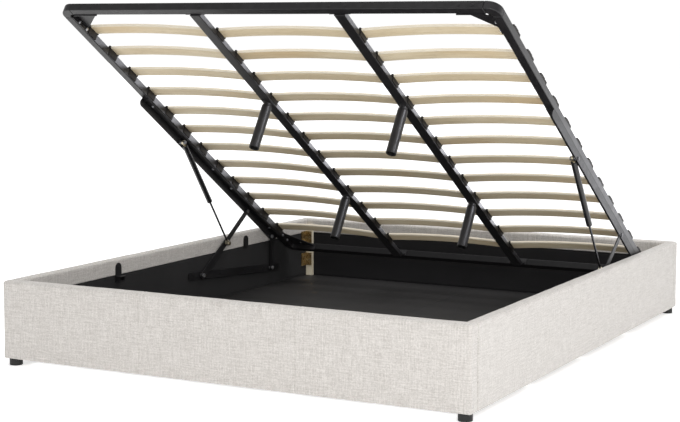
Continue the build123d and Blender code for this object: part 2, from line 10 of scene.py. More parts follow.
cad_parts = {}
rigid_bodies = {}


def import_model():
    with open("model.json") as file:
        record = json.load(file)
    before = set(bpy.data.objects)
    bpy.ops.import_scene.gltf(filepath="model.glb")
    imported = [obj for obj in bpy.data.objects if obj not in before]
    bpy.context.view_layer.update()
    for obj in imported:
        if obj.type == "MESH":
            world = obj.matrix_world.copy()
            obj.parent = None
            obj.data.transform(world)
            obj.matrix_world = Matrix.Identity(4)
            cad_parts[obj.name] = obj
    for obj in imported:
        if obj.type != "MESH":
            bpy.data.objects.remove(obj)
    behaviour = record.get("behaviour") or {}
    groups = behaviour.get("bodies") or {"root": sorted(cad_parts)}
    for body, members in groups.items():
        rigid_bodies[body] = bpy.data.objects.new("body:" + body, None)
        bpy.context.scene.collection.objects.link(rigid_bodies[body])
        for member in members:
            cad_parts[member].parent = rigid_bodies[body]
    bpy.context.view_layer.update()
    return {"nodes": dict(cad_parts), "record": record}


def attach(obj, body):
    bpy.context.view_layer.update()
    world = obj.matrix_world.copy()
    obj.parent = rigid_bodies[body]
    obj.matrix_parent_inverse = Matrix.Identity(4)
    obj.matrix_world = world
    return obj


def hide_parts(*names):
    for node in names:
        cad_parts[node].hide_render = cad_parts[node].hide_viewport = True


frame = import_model()
NODE = frame["nodes"]
scene = bpy.context.scene
scene.view_settings.view_transform = "Standard"
scene.view_settings.look = "None"
scene.view_settings.exposure = 0.0
scene.view_settings.gamma = 1.0

MM = 0.001
# box, in metres
XO, YO = 0.860, 1.050
XI, YI = 0.820, 1.002
Z_BOT, Z_TOP = 0.025, 0.290
STRIP_Z = 0.232
FLOOR_TOP = 0.038
# lifting frame: local (x, y toward the head, z up) placed with a tilt
TILT = radians(32.7)
OY, OZ = 0.81957, 0.17141
CT, ST = cos(TILT), sin(TILT)


def place(x, y, z):
    """a point of the flat frame, at its open position"""
    return Vector((x, OY + CT * y + ST * z, OZ - ST * y + CT * z))


# ---------------------------------------------------------------------------
# node-tree helper
# ---------------------------------------------------------------------------
class Mat:
    def __init__(self, name):
        self.m = bpy.data.materials.new(name)
        self.m.use_nodes = True
        self.nt = self.m.node_tree
        self.nt.nodes.clear()
        self.out = self.nt.nodes.new("ShaderNodeOutputMaterial")
        self.bsdf = self.nt.nodes.new("ShaderNodeBsdfPrincipled")
        self.nt.links.new(self.bsdf.outputs[0], self.out.inputs[0])

    def put(self, sock, value):
        if isinstance(value, bpy.types.NodeSocket):
            self.nt.links.new(value, sock)
        else:
            sock.default_value = value

    def node(self, kind, inputs=None, **props):
        n = self.nt.nodes.new("ShaderNode" + kind)
        for k, v in props.items():
            setattr(n, k, v)
        for k, v in (inputs or {}).items():
            self.put(n.inputs[k], v)
        return n

    def set(self, **kw):
        for k, v in kw.items():
            self.put(self.bsdf.inputs[k.replace("_", " ")], v)

    def math(self, op, a, b=0.0, c=None, clamp=False):
        n = self.node("Math", operation=op, use_clamp=clamp)
        self.put(n.inputs[0], a)
        self.put(n.inputs[1], b)
        if c is not None:
            self.put(n.inputs[2], c)
        return n.outputs[0]

    def vec(self, x, y, z):
        n = self.node("CombineXYZ")
        for i, v in enumerate((x, y, z)):
            self.put(n.inputs[i], v)
        return n.outputs[0]

    def sep(self, v):
        n = self.node("SeparateXYZ")
        self.put(n.inputs[0], v)
        return n.outputs

    def noise(self, vector, scale=1.0, detail=2.0, rough=0.5, dist=0.0, dim="3D"):
        n = self.node("TexNoise", noise_dimensions=dim)
        self.put(n.inputs["Vector"], vector)
        n.inputs["Scale"].default_value = scale
        n.inputs["Detail"].default_value = detail
        n.inputs["Roughness"].default_value = rough
        n.inputs["Distortion"].default_value = dist
        return n.outputs[0]

    def ramp(self, fac, stops):
        n = self.node("ValToRGB")
        el = n.color_ramp.elements
        while len(el) < len(stops):
            el.new(0.5)
        for e, (p, c) in zip(el, stops):
            e.position = p
            e.color = (*c, 1.0) if len(c) == 3 else c
        self.put(n.inputs[0], fac)
        return n.outputs[0]

    def span(self, fac, a0, a1, b0, b1):
        n = self.node("MapRange")
        self.put(n.inputs[0], fac)
        for i, v in zip((1, 2, 3, 4), (a0, a1, b0, b1)):
            n.inputs[i].default_value = v
        return n.outputs[0]

    def mix(self, fac, a, b, kind="MIX"):
        n = self.node("Mix", data_type="RGBA", blend_type=kind)
        self.put(n.inputs[0], fac)
        for i, v in ((6, a), (7, b)):
            if isinstance(v, tuple) and len(v) == 3:
                v = (*v, 1.0)
            self.put(n.inputs[i], v)
        return n.outputs[2]

    def bump(self, height, strength=0.5, dist=0.001, normal=None):
        n = self.node("Bump")
        n.inputs["Strength"].default_value = strength
        n.inputs["Distance"].default_value = dist
        self.put(n.inputs["Height"], height)
        if normal is not None:
            self.put(n.inputs["Normal"], normal)
        return n.outputs[0]

    def obj(self):
        return self.node("TexCoord").outputs["Object"]

    def frame_local(self):
        """object coordinates turned flat with the lifting frame"""
        n = self.node("Mapping", vector_type="POINT")
        self.put(n.inputs["Vector"], self.obj())
        n.inputs["Rotation"].default_value = (TILT, 0, 0)
        return n.outputs[0]

    def scaled(self, v, sx, sy, sz):
        n = self.node("VectorMath", operation="MULTIPLY")
        self.put(n.inputs[0], v)
        n.inputs[1].default_value = (sx, sy, sz)
        return n.outputs[0]


def srgb(r, g, b):
    def f(c):
        c /= 255.0
        return c / 12.92 if c <= 0.04045 else ((c + 0.055) / 1.055) ** 2.4
    return (f(r), f(g), f(b))


# ---------------------------------------------------------------------------
# materials
# ---------------------------------------------------------------------------
def linen():
    k = Mat("linen_weave")
    uv = k.node("UVMap", uv_map="cloth").outputs[0]
    u, v, _ = k.sep(uv)
    pitch = 0.00135
    a = k.math("DIVIDE", u, pitch)
    b = k.math("DIVIDE", v, pitch * 1.08)
    # threads wander a little
    wob = k.noise(k.scaled(uv, 60, 60, 1), 1.0, 2.0)
    a = k.math("MULTIPLY_ADD", wob, 1.1, a)
    b = k.math("MULTIPLY_ADD", wob, -0.9, b)
    fa, fb = k.math("FLOOR", a), k.math("FLOOR", b)
    par = k.math("PINGPONG", k.math("ADD", fa, fb), 1.0)
    ha = k.math("ABSOLUTE", k.math("SINE", k.math("MULTIPLY", a, pi)))
    hb = k.math("ABSOLUTE", k.math("SINE", k.math("MULTIPLY", b, pi)))
    # over-thread stands up in the middle of its cell
    h1 = k.math("MULTIPLY", ha, k.math("MULTIPLY_ADD", hb, 0.55, 0.45))
    h2 = k.math("MULTIPLY", hb, k.math("MULTIPLY_ADD", ha, 0.55, 0.45))
    height = k.math("ADD", k.math("MULTIPLY", par, h1), k.math("MULTIPLY", k.math("SUBTRACT", 1.0, par), h2))
    # each yarn has its own tone, and slubs along it
    warp = k.noise(k.vec(k.math("MULTIPLY", fa, 3.71), k.math("MULTIPLY", v, 26.0), 0.0), 1.0, 2.0, 0.6)
    weft = k.noise(k.vec(k.math("MULTIPLY", u, 26.0), k.math("MULTIPLY", fb, 3.37), 5.0), 1.0, 2.0, 0.6)
    yarn = k.math("ADD", k.math("MULTIPLY", par, warp), k.math("MULTIPLY", k.math("SUBTRACT", 1.0, par), weft))
    streak1 = k.noise(k.scaled(uv, 16, 240, 1), 1.0, 3.0, 0.6)
    streak2 = k.noise(k.scaled(uv, 240, 16, 1), 1.0, 3.0, 0.6)
    blotch = k.noise(k.scaled(uv, 170, 170, 1), 1.0, 3.0, 0.65)
    tone = k.math("ADD", k.math("MULTIPLY", streak1, 0.30), k.math("MULTIPLY", streak2, 0.30))
    tone = k.math("ADD", tone, k.math("MULTIPLY", blotch, 0.40))
    tone = k.span(tone, 0.40, 0.60, 0.0, 1.0)
    col = k.mix(tone, srgb(170, 165, 160), srgb(218, 214, 210))
    col = k.mix(k.span(yarn, 0.3, 0.7, 0.0, 0.50), col, srgb(208, 204, 199))
    dark = k.span(yarn, 0.30, 0.42, 1.0, 0.0)
    col = k.mix(k.math("MULTIPLY", dark, 0.35), col, srgb(150, 142, 134))
    # painted shade: the low spots of the weave between the threads are darkened
    weave_gap_shade = k.span(height, 0.0, 0.35, 0.55, 0.0)
    col = k.mix(weave_gap_shade, col, srgb(128, 121, 114))
    k.set(Base_Color=col)
    k.bsdf.inputs["Roughness"].default_value = 0.92
    k.bsdf.inputs["Specular IOR Level"].default_value = 0.25
    k.bsdf.inputs["Sheen Weight"].default_value = 0.25
    k.bsdf.inputs["Sheen Roughness"].default_value = 0.5
    big = k.math("ADD", k.math("MULTIPLY", streak1, 0.5), k.math("MULTIPLY", streak2, 0.5))
    n = k.bump(big, 0.35, 0.0010)
    n = k.bump(height, 0.7, 0.00035, n)
    k.set(Normal=n)
    return k.m


def lining():
    k = Mat("black_lining")
    c = k.obj()
    fib = k.noise(c, 900.0, 3.0, 0.7)
    fib2 = k.noise(c, 260.0, 2.0, 0.6)
    cloud = k.noise(c, 7.0, 3.0, 0.5)
    t = k.math("ADD", k.math("MULTIPLY", fib, 0.6), k.math("MULTIPLY", cloud, 0.4))
    k.set(Base_Color=k.ramp(t, [(0.3, (0.0068, 0.0064, 0.0072)), (0.7, (0.0150, 0.0142, 0.0152))]))
    k.bsdf.inputs["Roughness"].default_value = 0.85
    k.bsdf.inputs["Specular IOR Level"].default_value = 0.25
    k.bsdf.inputs["Sheen Weight"].default_value = 0.08
    k.set(Normal=k.bump(k.math("ADD", fib, fib2), 0.45, 0.0004))
    return k.m


def floor_black():
    k = Mat("floor_board_black")
    c = k.obj()
    grain = k.noise(k.scaled(c, 700, 700, 700), 1.0, 3.0, 0.65)
    cloud = k.noise(c, 3.2, 3.0, 0.5)
    t = k.math("ADD", k.math("MULTIPLY", grain, 0.55), k.math("MULTIPLY", cloud, 0.45))
    k.set(Base_Color=k.ramp(t, [(0.3, (0.0128, 0.0122, 0.0125)), (0.7, (0.0225, 0.0215, 0.0215))]))
    k.set(Roughness=k.span(cloud, 0.3, 0.7, 0.52, 0.64))
    k.bsdf.inputs["Specular IOR Level"].default_value = 0.35
    k.set(Normal=k.bump(grain, 0.3, 0.0003))
    return k.m


def beech():
    k = Mat("beech_ply")
    w = k.node("Attribute", attribute_type="GEOMETRY", attribute_name="wood").outputs["Vector"]
    seed = k.node("Attribute", attribute_type="GEOMETRY", attribute_name="seed").outputs["Fac"]
    x, y, z = k.sep(w)
    sh = k.math("MULTIPLY", seed, 7.31)
    p = k.vec(k.math("ADD", x, sh), y, sh)
    grain = k.noise(k.scaled(p, 5.0, 170.0, 1.0), 1.0, 4.0, 0.62, 0.4)
    fine = k.noise(k.scaled(p, 26.0, 900.0, 1.0), 1.0, 2.0, 0.6)
    broad = k.noise(k.scaled(p, 3.4, 14.0, 1.0), 1.0, 2.0, 0.5)
    tone = k.math("ADD", k.math("MULTIPLY", grain, 0.55), k.math("MULTIPLY", broad, 0.45))
    col = k.ramp(tone, [(0.30, srgb(188, 170, 139)), (0.48, srgb(209, 194, 165)), (0.70, srgb(225, 214, 190))])
    each = k.noise(k.vec(sh, 3.0, 1.0), 3.0, 0.0)
    col = k.mix(k.span(each, 0.35, 0.65, 0.0, 0.45), col, srgb(200, 182, 150))
    warm = k.span(k.noise(k.scaled(p, 2.3, 6.0, 1.0), 1.0, 1.0), 0.55, 0.75, 0.0, 0.5)
    col = k.mix(warm, col, srgb(198, 168, 124))
    pores = k.span(fine, 0.30, 0.42, 0.55, 0.0)
    col = k.mix(pores, col, srgb(150, 126, 92))
    # long edges: a pale band over the edge and its rounding, partly the ply edge's own paler colour and partly a
    # painted highlight, then the dark glue lines of the veneer layers
    lay = k.math("PINGPONG", k.math("MULTIPLY", z, 1.0), 0.00065)
    line = k.span(lay, 0.0, 0.00010, 0.6, 0.0)
    edge = k.span(k.math("ABSOLUTE", y), 0.0203, 0.0213, 0.0, 1.0)
    # partly painted highlight: the pale cream band along both long edges
    col = k.mix(k.math("MULTIPLY", edge, 0.88), col, srgb(216, 208, 191))
    col = k.mix(k.math("MULTIPLY", k.math("MULTIPLY", edge, line), 0.5), col, srgb(176, 148, 110))
    k.set(Base_Color=col)
    k.set(Roughness=k.span(grain, 0.3, 0.7, 0.50, 0.62))
    k.bsdf.inputs["Specular IOR Level"].default_value = 0.35
    n = k.bump(k.math("ADD", grain, k.math("MULTIPLY", fine, 0.6)), 0.25, 0.0004)
    k.set(Normal=n)
    return k.m


def timber():
    k = Mat("pale_timber")
    c = k.obj()
    ring = k.noise(k.scaled(c, 60.0, 60.0, 7.0), 1.0, 4.0, 0.6, 0.6)
    fine = k.noise(k.scaled(c, 500.0, 500.0, 40.0), 1.0, 2.0, 0.6)
    col = k.ramp(ring, [(0.30, srgb(226, 210, 178)), (0.55, srgb(240, 230, 206)), (0.8, srgb(246, 239, 222))])
    col = k.mix(k.span(fine, 0.35, 0.45, 0.3, 0.0), col, srgb(206, 180, 138))
    k.set(Base_Color=col)
    k.bsdf.inputs["Roughness"].default_value = 0.72
    k.set(Normal=k.bump(k.math("ADD", ring, fine), 0.25, 0.0005))
    return k.m


def coat(name, base, rough, local=False, orange=1.0, spec=0.5):
    """powder-coated or painted steel: fine orange peel, faint dust and rubbed tone"""
    k = Mat(name)
    c = k.frame_local() if local else k.obj()
    peel = k.noise(c, 1300.0, 2.0, 0.5)
    dust = k.noise(c, 45.0, 4.0, 0.6)
    soft = k.noise(c, 6.0, 2.0, 0.5)
    t = k.math("ADD", k.math("MULTIPLY", dust, 0.6), k.math("MULTIPLY", soft, 0.4))
    lo = tuple(x * 0.80 for x in base)
    hi = tuple(x * 1.35 for x in base)
    k.set(Base_Color=k.ramp(t, [(0.35, lo), (0.65, hi)]))
    k.set(Roughness=k.span(t, 0.35, 0.65, rough - 0.04, rough + 0.06))
    k.bsdf.inputs["Specular IOR Level"].default_value = spec
    k.set(Normal=k.bump(peel, 0.22 * orange, 0.00025))
    return k.m


def plastic(name, base, rough, spec=0.45):
    k = Mat(name)
    c = k.obj()
    spark = k.noise(c, 2200.0, 2.0, 0.6)
    flow = k.noise(c, 30.0, 3.0, 0.6)
    k.set(Base_Color=k.ramp(flow, [(0.3, tuple(x * 0.75 for x in base)), (0.7, tuple(x * 1.3 for x in base))]))
    k.set(Roughness=k.span(flow, 0.3, 0.7, rough - 0.05, rough + 0.07))
    k.bsdf.inputs["Specular IOR Level"].default_value = spec
    k.set(Normal=k.bump(spark, 0.3, 0.00015))
    return k.m


def plated(name, lo, hi, rough, tint=None):
    """zinc plating with a brushed, slightly clouded surface"""
    k = Mat(name)
    c = k.obj()
    cloud = k.noise(c, 140.0, 3.0, 0.6)
    scratch = k.noise(k.scaled(c, 300.0, 2600.0, 2600.0), 1.0, 2.0, 0.6)
    col = k.ramp(cloud, [(0.3, lo), (0.7, hi)])
    if tint:
        col = k.mix(k.span(k.noise(c, 60.0, 2.0), 0.5, 0.7, 0.0, 0.6), col, tint)
    k.set(Base_Color=col)
    k.bsdf.inputs["Metallic"].default_value = 1.0
    k.set(Roughness=k.span(scratch, 0.3, 0.7, rough - 0.08, rough + 0.10))
    k.set(Normal=k.bump(scratch, 0.12, 0.0001))
    return k.m


M = {
    "linen_weave": linen(),
    "black_lining": lining(),
    "floor_board_black": floor_black(),
    "beech_ply": beech(),
    "pale_timber": timber(),
    "powder_coat": coat("powder_coat", (0.0108, 0.0102, 0.0112), 0.36, local=True, spec=0.42),
    "black_steel": coat("black_steel", (0.0105, 0.0102, 0.0110), 0.40, spec=0.30),
    "strut_black": coat("strut_black", (0.010, 0.010, 0.011), 0.27, orange=0.4),
    "rod_steel": plated("rod_steel", (0.055, 0.055, 0.06), (0.10, 0.10, 0.11), 0.26),
    "black_plastic": plastic("black_plastic", (0.010, 0.010, 0.010), 0.48, 0.35),
    "holder_plastic": plastic("holder_plastic", (0.0165, 0.0135, 0.0115), 0.55, 0.25),
    "yellow_zinc": plated("yellow_zinc", srgb(128, 98, 56), srgb(232, 212, 168), 0.30, srgb(228, 222, 204)),
    "bright_zinc": plated("bright_zinc", srgb(158, 158, 163), srgb(212, 212, 216), 0.40),
    "pale_board": plastic("pale_board", srgb(238, 238, 237), 0.75, 0.1),
    # painted shade: a darker, less glossy copy of the powder coat, standing in for the shade that falls on the head
    # tube
    "powder_coat_painted_shade": coat("powder_coat_painted_shade", (0.0060, 0.0056, 0.0063), 0.42, local=True, spec=0.24),
    "pale_zinc": plated("pale_zinc", srgb(150, 136, 108), srgb(226, 218, 196), 0.30, srgb(232, 230, 222)),
    "clear_zinc": plated("clear_zinc", srgb(206, 206, 210), srgb(246, 246, 248), 0.30),
    "dull_zinc": plated("dull_zinc", srgb(96, 96, 100), srgb(150, 150, 154), 0.42),
}


# ---------------------------------------------------------------------------
# CAD pieces that keep their shape: finish, small edge rounds and clean normals
# ---------------------------------------------------------------------------
SLOT_OF = {s["node"]: s["material_slot"] for s in frame["record"]["subparts"]}


# the head tube takes the painted-shade copy of the powder coat in place of its plain coat
FINISH = {"floor_battens": "pale_board", "head_tube": "powder_coat_painted_shade", "rod_eye_left": "pale_zinc", "rod_eye_right": "pale_zinc",
          "cylinder_eye_left": "pale_zinc", "cylinder_eye_right": "pale_zinc", "frame_pivot_pins": "dull_zinc",
          "lower_pivot_bolts": "clear_zinc"}


def dress(node, edge=0.4, seg=2, angle=32.0):
    o = NODE[node]
    o.data.materials.clear()
    o.data.materials.append(M[FINISH.get(node, SLOT_OF[node])])
    for p in o.data.polygons:
        p.use_smooth = True
    w = o.modifiers.new("weld", "WELD")
    w.merge_threshold = 2e-6
    d = o.modifiers.new("planar", "DECIMATE")
    d.decimate_type = "DISSOLVE"
    d.angle_limit = radians(0.4)
    b = o.modifiers.new("edges", "BEVEL")
    b.width = edge * MM
    b.segments = seg
    b.limit_method = "ANGLE"
    b.angle_limit = radians(angle)
    b.use_clamp_overlap = True
    n = o.modifiers.new("normals", "WEIGHTED_NORMAL")
    n.keep_sharp = False
    n.weight = 60
    return o


EDGE = {
    "side_tube_left": (2.6, 3), "side_tube_right": (2.6, 3), "foot_tube": (2.6, 3), "head_tube": (2.6, 3),
    "frame_corner_bends": (2.6, 3), "middle_rail_left": (2.2, 3), "middle_rail_right": (2.2, 3),
    "corner_feet": (0.8, 2), "floor_board_left": (0.5, 2), "floor_board_right": (0.5, 2),
    "floor_battens": (1.5, 2), "corner_posts": (1.5, 2), "foot_panel_core": (1.0, 1), "head_panel_core": (1.0, 1),
    "side_rail_core_left": (1.0, 1), "side_rail_core_right": (1.0, 1),
    "rail_end_plates": (0.8, 2), "leg_saddles": (0.8, 2), "leg_caps": (1.0, 2),
    "slat_holders_outer": (0.6, 2), "slat_holders_middle": (0.6, 2),
    "front_arm_left": (0.8, 2), "front_arm_right": (0.8, 2), "rear_arm_left": (0.8, 2), "rear_arm_right": (0.8, 2),
    "rail_bracket_left": (0.8, 2), "rail_bracket_right": (0.8, 2),
    "frame_bracket_left": (0.8, 2), "frame_bracket_right": (0.8, 2),
}
REPLACED = {"foot_panel_upholstery", "head_panel_upholstery", "side_rail_upholstery_left",
            "side_rail_upholstery_right", "foot_panel_lining", "head_panel_lining", "side_rail_lining_left",
            "side_rail_lining_right", "slats_left", "slats_centre", "slats_right"}
for name in sorted(NODE):
    if name not in REPLACED:
        e, s = EDGE.get(name, (0.35, 2))
        dress(name, e, s)


# ---------------------------------------------------------------------------
# padded panels: fabric pulled over a core with foam
# ---------------------------------------------------------------------------
def mesh_object(name, verts, faces, mat, smooth=True):
    me = bpy.data.meshes.new(name)
    me.from_pydata([tuple(v) for v in verts], [], faces)
    me.materials.append(mat)
    for p in me.polygons:
        p.use_smooth = smooth
    o = bpy.data.objects.new(name, me)
    scene.collection.objects.link(o)
    return o


def steps(a, b, step):
    n = max(1, int(round((b - a) / step)))
    return [a + (b - a) * i / n for i in range(n)]


def axis_lines(lo, hi, r_lo, r_hi, step, extra=(), n_arc=5):
    """lattice lines: even angles inside the rounded ends, even steps between, and extra dense places"""
    arc_lo = [lo + r_lo - r_lo * tan(radians(45.0) * (1 - i / n_arc)) for i in range(n_arc)]
    arc_hi = [hi - r_hi + r_hi * tan(radians(45.0) * i / n_arc) for i in range(1, n_arc + 1)]
    mid = steps(lo + r_lo, hi - r_hi, step) + [hi - r_hi]
    out = sorted(arc_lo + mid + arc_hi)
    for c, half, n in extra:
        out = [v for v in out if abs(v - c) > half * 1.15]
        out += [c - half + 2 * half * i / n for i in range(n + 1)]
    return sorted(out)


def smooth01(x):
    x = max(0.0, min(1.0, x))
    return x * x * (3 - 2 * x)


def panel(name, length, thick, r_end, to_world, seams, ends_free, seed, recess, joint_gap=0.0):
    """One upholstered panel.  Local s runs along it, t from the inner face out, z up."""
    s0, s1 = -length / 2, length / 2
    if joint_gap:
        s0 += joint_gap
        s1 -= joint_gap
    z0, z1 = Z_BOT - 0.0004, Z_TOP
    r_out, r_in, r_top, r_low = 0.0105, 0.0070, 0.0100, 0.005
    S = axis_lines(s0, s1, r_end, r_end, 0.0115, [(c, 0.016, 14) for c in seams], 5)
    T = axis_lines(0.0, thick, r_in, r_out, 0.008, n_arc=5)
    Z = axis_lines(z0, z1, r_low, r_top, 0.0105, [(STRIP_Z - 0.001, 0.0035, 5), (0.036, 0.010, 5)], 5)
    nS, nT, nZ = len(S) - 1, len(T) - 1, len(Z) - 1
    rnd = random.Random(seed)
    off = rnd.uniform(0, 50)
    idx, co = {}, []

    def fn(a, b, c, sc):
        return noise.noise(Vector((a * sc + off, b * sc, c * sc)))

    def shape(s, t, z):
        low = smooth01((z - 0.032) / 0.05)
        ro = r_low + (r_out - r_low) * low
        ri = r_low + (r_in - r_low) * low
        rs = r_end if r_end < 0.006 else 0.007 + (r_end - 0.007) * low
        cs = min(max(s, s0 + rs), s1 - rs)
        ct = min(max(t, ri), thick - ro)
        cz = min(max(z, z0 + r_low), z1 - r_top)
        ds, dt, dz = s - cs, t - ct, z - cz
        a = ds / rs
        b = dt / (ro if dt > 0 else ri)
        c = dz / (r_top if dz > 0 else r_low)
        ln = sqrt(a * a + b * b + c * c) or 1.0
        m = max(abs(a), abs(b), abs(c), 1e-9)
        a, b, c = a / ln, b / ln, c / ln
        p = Vector((cs + a * rs, ct + b * (ro if dt > 0 else ri), cz + c * (r_top if dz > 0 else r_low)))
        n = Vector((a, b, c)).normalized()
        # --- soft shape -----------------------------------------------------
        h = (z - z0) / (z1 - z0)
        d = 0.0
        if n.y > 0.3:          # outer face: foam crown and slack in the cloth
            d += 0.0011 * sin(pi * min(1, max(0, h))) * n.y
            d += 0.00075 * fn(s, 0.0, z * 0.7, 5.5) * smooth01((z - z0) / 0.05)
            d += 0.00028 * fn(s, 3.0, z, 26.0)
            # pulled under: shallow scallops between the staples
            d += 0.00075 * exp(-(z - z0) / 0.020) * sin(2 * pi * s / 0.047 + 3 * fn(s, 9, 0, 4.0)) * n.y
        if n.z > 0.3:          # top: slight waviness of the foam edge
            d += 0.0008 * fn(s, 7.0, 0.0, 8.0) + 0.0003 * fn(s, 1.0, t, 30.0)
        if n.y < -0.3 and z > STRIP_Z:
            d += 0.0005 * fn(s, 5.0, z, 14.0)
        if abs(n.x) > 0.5 and ends_free:
            d += 0.0007 * fn(t, 2.0, z, 12.0)
        # seams: a fine valley with puckers on each side
        for c0 in seams:
            q = abs(s - c0)
            if q < 0.05:
                w = fn(c0, z * 1.0, t, 9.0)
                d -= 0.0019 * exp(-(q / 0.0021) ** 2) * (0.35 if n.z < -0.5 else 1.0)
                d += 0.00045 * exp(-((q - 0.006) / 0.004) ** 2)
                d += 0.00035 * exp(-q / 0.014) * sin(2 * pi * (z + t) / 0.021 + 4 * w)
        p = p + n * d
        # return of the fabric on the inner face: hem, then the lining's recess below it
        if p.y < thick * 0.5 and n.y < -0.5:
            k = smooth01((STRIP_Z + 0.0006 - z) / 0.0022) * smooth01((z - 0.026) / 0.003)
            if ends_free:
                k *= smooth01((XI - 0.001 - abs(s)) / 0.003)
            p.y += recess * k
        return p

    def vid(i, j, l):
        key = (i, j, l)
        if key not in idx:
            idx[key] = len(co)
            co.append(to_world(shape(S[i], T[j], Z[l])))
        return idx[key]

    faces, uvs = [], []

    def quad(keys, uv):
        faces.append([vid(*q) for q in keys])
        uvs.append([uv(*q) for q in keys])

    zt, th = z1, thick
    f_out = lambda i, j, l: (S[i], Z[l])
    f_top = lambda i, j, l: (S[i], zt + (th - T[j]))
    f_in = lambda i, j, l: (S[i], zt + th + (zt - Z[l]))
    f_bot = lambda i, j, l: (S[i], z0 - (th - T[j]))
    f_end = lambda sg: (lambda i, j, l: (sg * (length / 2 + (th - T[j])), Z[l]))
    for i in range(nS):
        for l in range(nZ):
            quad([(i, nT, l), (i + 1, nT, l), (i + 1, nT, l + 1), (i, nT, l + 1)], f_out)
            quad([(i, 0, l), (i + 1, 0, l), (i + 1, 0, l + 1), (i, 0, l + 1)], f_in)
        for j in range(nT):
            quad([(i, j, nZ), (i + 1, j, nZ), (i + 1, j + 1, nZ), (i, j + 1, nZ)], f_top)
            quad([(i, j, 0), (i + 1, j, 0), (i + 1, j + 1, 0), (i, j + 1, 0)], f_bot)
    for j in range(nT):
        for l in range(nZ):
            quad([(0, j, l), (0, j + 1, l), (0, j + 1, l + 1), (0, j, l + 1)], f_end(-1))
            quad([(nS, j, l), (nS, j + 1, l), (nS, j + 1, l + 1), (nS, j, l + 1)], f_end(1))
    o = mesh_object(name, co, faces, M["linen_weave"])
    uvl = o.data.uv_layers.new(name="cloth")
    flat = np.array([c for f in uvs for c in f], np.float32)
    flat[:, 0] += off * 0.37
    uvl.data.foreach_set("uv", flat.ravel())
    bm = bmesh.new()
    bm.from_mesh(o.data)
    bmesh.ops.recalc_face_normals(bm, faces=bm.faces)
    bm.to_mesh(o.data)
    bm.free()
    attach(o, "root")
    return o


SEAMS = (-0.307, 0.272)
foot = panel("foot_panel_cover", 2 * XO, YO - YI, 0.0115, lambda p: (p.x, -YI - p.y, p.z), SEAMS, True, 3, 0.0046)
head = panel("head_panel_cover", 2 * XO, YO - YI, 0.0115, lambda p: (p.x, YI + p.y, p.z), SEAMS, True, 5, 0.0046)
right = panel("side_rail_cover_right", 2 * YI, XO - XI, 0.003, lambda p: (XI + p.y, p.x, p.z), (), False, 7, 0.0034, 0.0003)
left = panel("side_rail_cover_left", 2 * YI, XO - XI, 0.003, lambda p: (-XI - p.y, p.x, p.z), (), False, 11, 0.0034, 0.0003)
for o, n in ((foot, "foot_panel_upholstery"), (head, "head_panel_upholstery"),
             (right, "side_rail_upholstery_right"), (left, "side_rail_upholstery_left")):
    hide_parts(n)


# ---------------------------------------------------------------------------
# black lining on the inner faces: a thin cloth, stapled under the fabric's return
# ---------------------------------------------------------------------------
def liner(name, length, depth, zlow, to_world, node, seed):
    s0, s1 = -length / 2, length / 2
    S = steps(s0, s1, 0.014) + [s1]
    Z = steps(zlow, STRIP_Z - 0.0006, 0.013) + [STRIP_Z - 0.0006]
    rnd = random.Random(seed)
    off = rnd.uniform(0, 90)
    thick = 0.0007
    co, faces = [], []

    def front(s, z):
        e = min((z - zlow) / 0.03, 1.0)
        f = noise.noise(Vector((s * 5.0 + off, z * 2.2, 0))) * 0.00075
        f += noise.noise(Vector((s * 17.0 + off, z * 5.0, 3.0))) * 0.00035
        top = exp(-(STRIP_Z - z) / 0.03)
        f += 0.0003 * top * sin(2 * pi * s / 0.055 + 2.0 * noise.noise(Vector((s * 3, off, 0))))
        return depth + max(-0.0009, min(0.0009, f)) * (0.3 + 0.7 * e)
    n1, n2 = len(S), len(Z)
    for side in (0.0, thick):
        for s in S:
            for z in Z:
                co.append(to_world(Vector((s, front(s, z) + side, z))))
    g = lambda k, i, j: k * n1 * n2 + i * n2 + j
    for k in (0, 1):
        for i in range(n1 - 1):
            for j in range(n2 - 1):
                faces.append([g(k, i, j), g(k, i + 1, j), g(k, i + 1, j + 1), g(k, i, j + 1)])
    for i in range(n1 - 1):
        for j in (0, n2 - 1):
            faces.append([g(0, i, j), g(0, i + 1, j), g(1, i + 1, j), g(1, i, j)])
    for j in range(n2 - 1):
        for i in (0, n1 - 1):
            faces.append([g(0, i, j), g(0, i, j + 1), g(1, i, j + 1), g(1, i, j)])
    o = mesh_object(name, co, faces, M["black_lining"])
    bm = bmesh.new()
    bm.from_mesh(o.data)
    bmesh.ops.recalc_face_normals(bm, faces=bm.faces)
    bm.to_mesh(o.data)
    bm.free()
    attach(o, "root")
    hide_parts(node)
    return o


liner("foot_panel_liner", 2 * (XI - 0.0045), 0.0028, FLOOR_TOP - 0.0045, lambda p: (p.x, -YI - p.y, p.z), "foot_panel_lining", 21)
liner("head_panel_liner", 2 * (XI - 0.0045), 0.0028, FLOOR_TOP - 0.0045, lambda p: (p.x, YI + p.y, p.z), "head_panel_lining", 22)
liner("side_rail_liner_right", 2 * (YI - 0.001), 0.0015, FLOOR_TOP + 0.0003, lambda p: (XI + p.y, p.x, p.z), "side_rail_lining_right", 23)
liner("side_rail_liner_left", 2 * (YI - 0.001), 0.0015, FLOOR_TOP + 0.0003, lambda p: (-XI - p.y, p.x, p.z), "side_rail_lining_left", 24)

# ---------------------------------------------------------------------------
# sprung slats: bowed laminate with round-nosed long edges
# ---------------------------------------------------------------------------
FR_HW = 0.815
RAIL_X = 0.270
SLAT_W, SLAT_T, SLAT_BOW = 0.050, 0.010, 0.0105
SEAT_OUT, SEAT_MID = 0.0292, 0.0161      # underside at the side tubes and at the middle rails
US = [0.169 + i * 0.14164 for i in range(12)]
COLS = {"slats_left": (-FR_HW + 0.014, -RAIL_X - 0.005, SEAT_OUT, SEAT_MID),
        "slats_centre": (-RAIL_X + 0.005, RAIL_X - 0.005, SEAT_MID, SEAT_MID),
        "slats_right": (RAIL_X + 0.005, FR_HW - 0.014, SEAT_MID, SEAT_OUT)}


